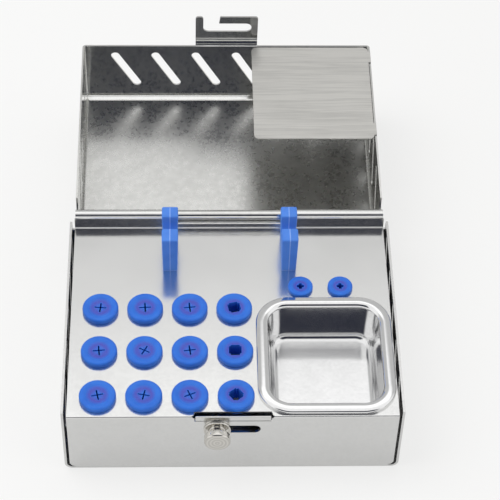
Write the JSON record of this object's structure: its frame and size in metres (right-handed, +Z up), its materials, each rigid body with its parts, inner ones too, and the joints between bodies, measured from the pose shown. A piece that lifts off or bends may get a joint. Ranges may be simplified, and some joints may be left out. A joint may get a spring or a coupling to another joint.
{
  "type": "implant instrument box",
  "caption": "Folded steel dental instrument box, shown open: deck with silicone plugs and a drawn cup, hinged lid with slanted steam slots and latch tab, sliding lock knob.",
  "frame": {"origin": "middle of the box's underside, where it stands on the table", "axes": "+X to the right seen from the front, +Y from the latch to the hinge and on over the open lid, +Z up; the stored pose has the lid swung fully open behind the box"},
  "size_m": [0.14, 0.2146, 0.0672],
  "materials": {
    "tray_steel": "satin",
    "deck_steel": "electropolished",
    "lid_steel": "electropolished",
    "cover_steel": "brushed",
    "cup_steel": "polished",
    "pin_steel": "drawn",
    "knob_steel": "turned",
    "washer_steel": "satin",
    "plug_silicone": "satin",
    "bracket_silicone": "satin"
  },
  "bodies": {
    "base": {"base_tray": "tray_steel", "deck_sheet": "deck_steel", "hinge_pin": "pin_steel", "cup": "cup_steel", "plug_01": "plug_silicone", "plug_02": "plug_silicone", "plug_03": "plug_silicone", "plug_04": "plug_silicone", "plug_05": "plug_silicone", "plug_06": "plug_silicone", "plug_07": "plug_silicone", "plug_08": "plug_silicone", "plug_09": "plug_silicone", "plug_10": "plug_silicone", "plug_11": "plug_silicone", "plug_12": "plug_silicone", "small_plug_left": "plug_silicone", "small_plug_right": "plug_silicone", "bracket_left": "bracket_silicone", "bracket_right": "bracket_silicone"},
    "lid": {"lid_shell": "lid_steel", "cup_cover": "cover_steel"},
    "latch": {"lock_knob": "knob_steel", "knob_washer": "washer_steel"}
  },
  "joints": [
    {"name": "lid_hinge", "type": "hinge", "parent": "base", "child": "lid", "pos_m": [0, 0.053, 0.0415], "axis": [1, 0, 0], "range_deg": [0, 177.5]},
    {"name": "knob_slide", "type": "slide", "parent": "base", "child": "latch", "axis": [1, 0, 0], "range_m": [0, 0.0154]}
  ]
}
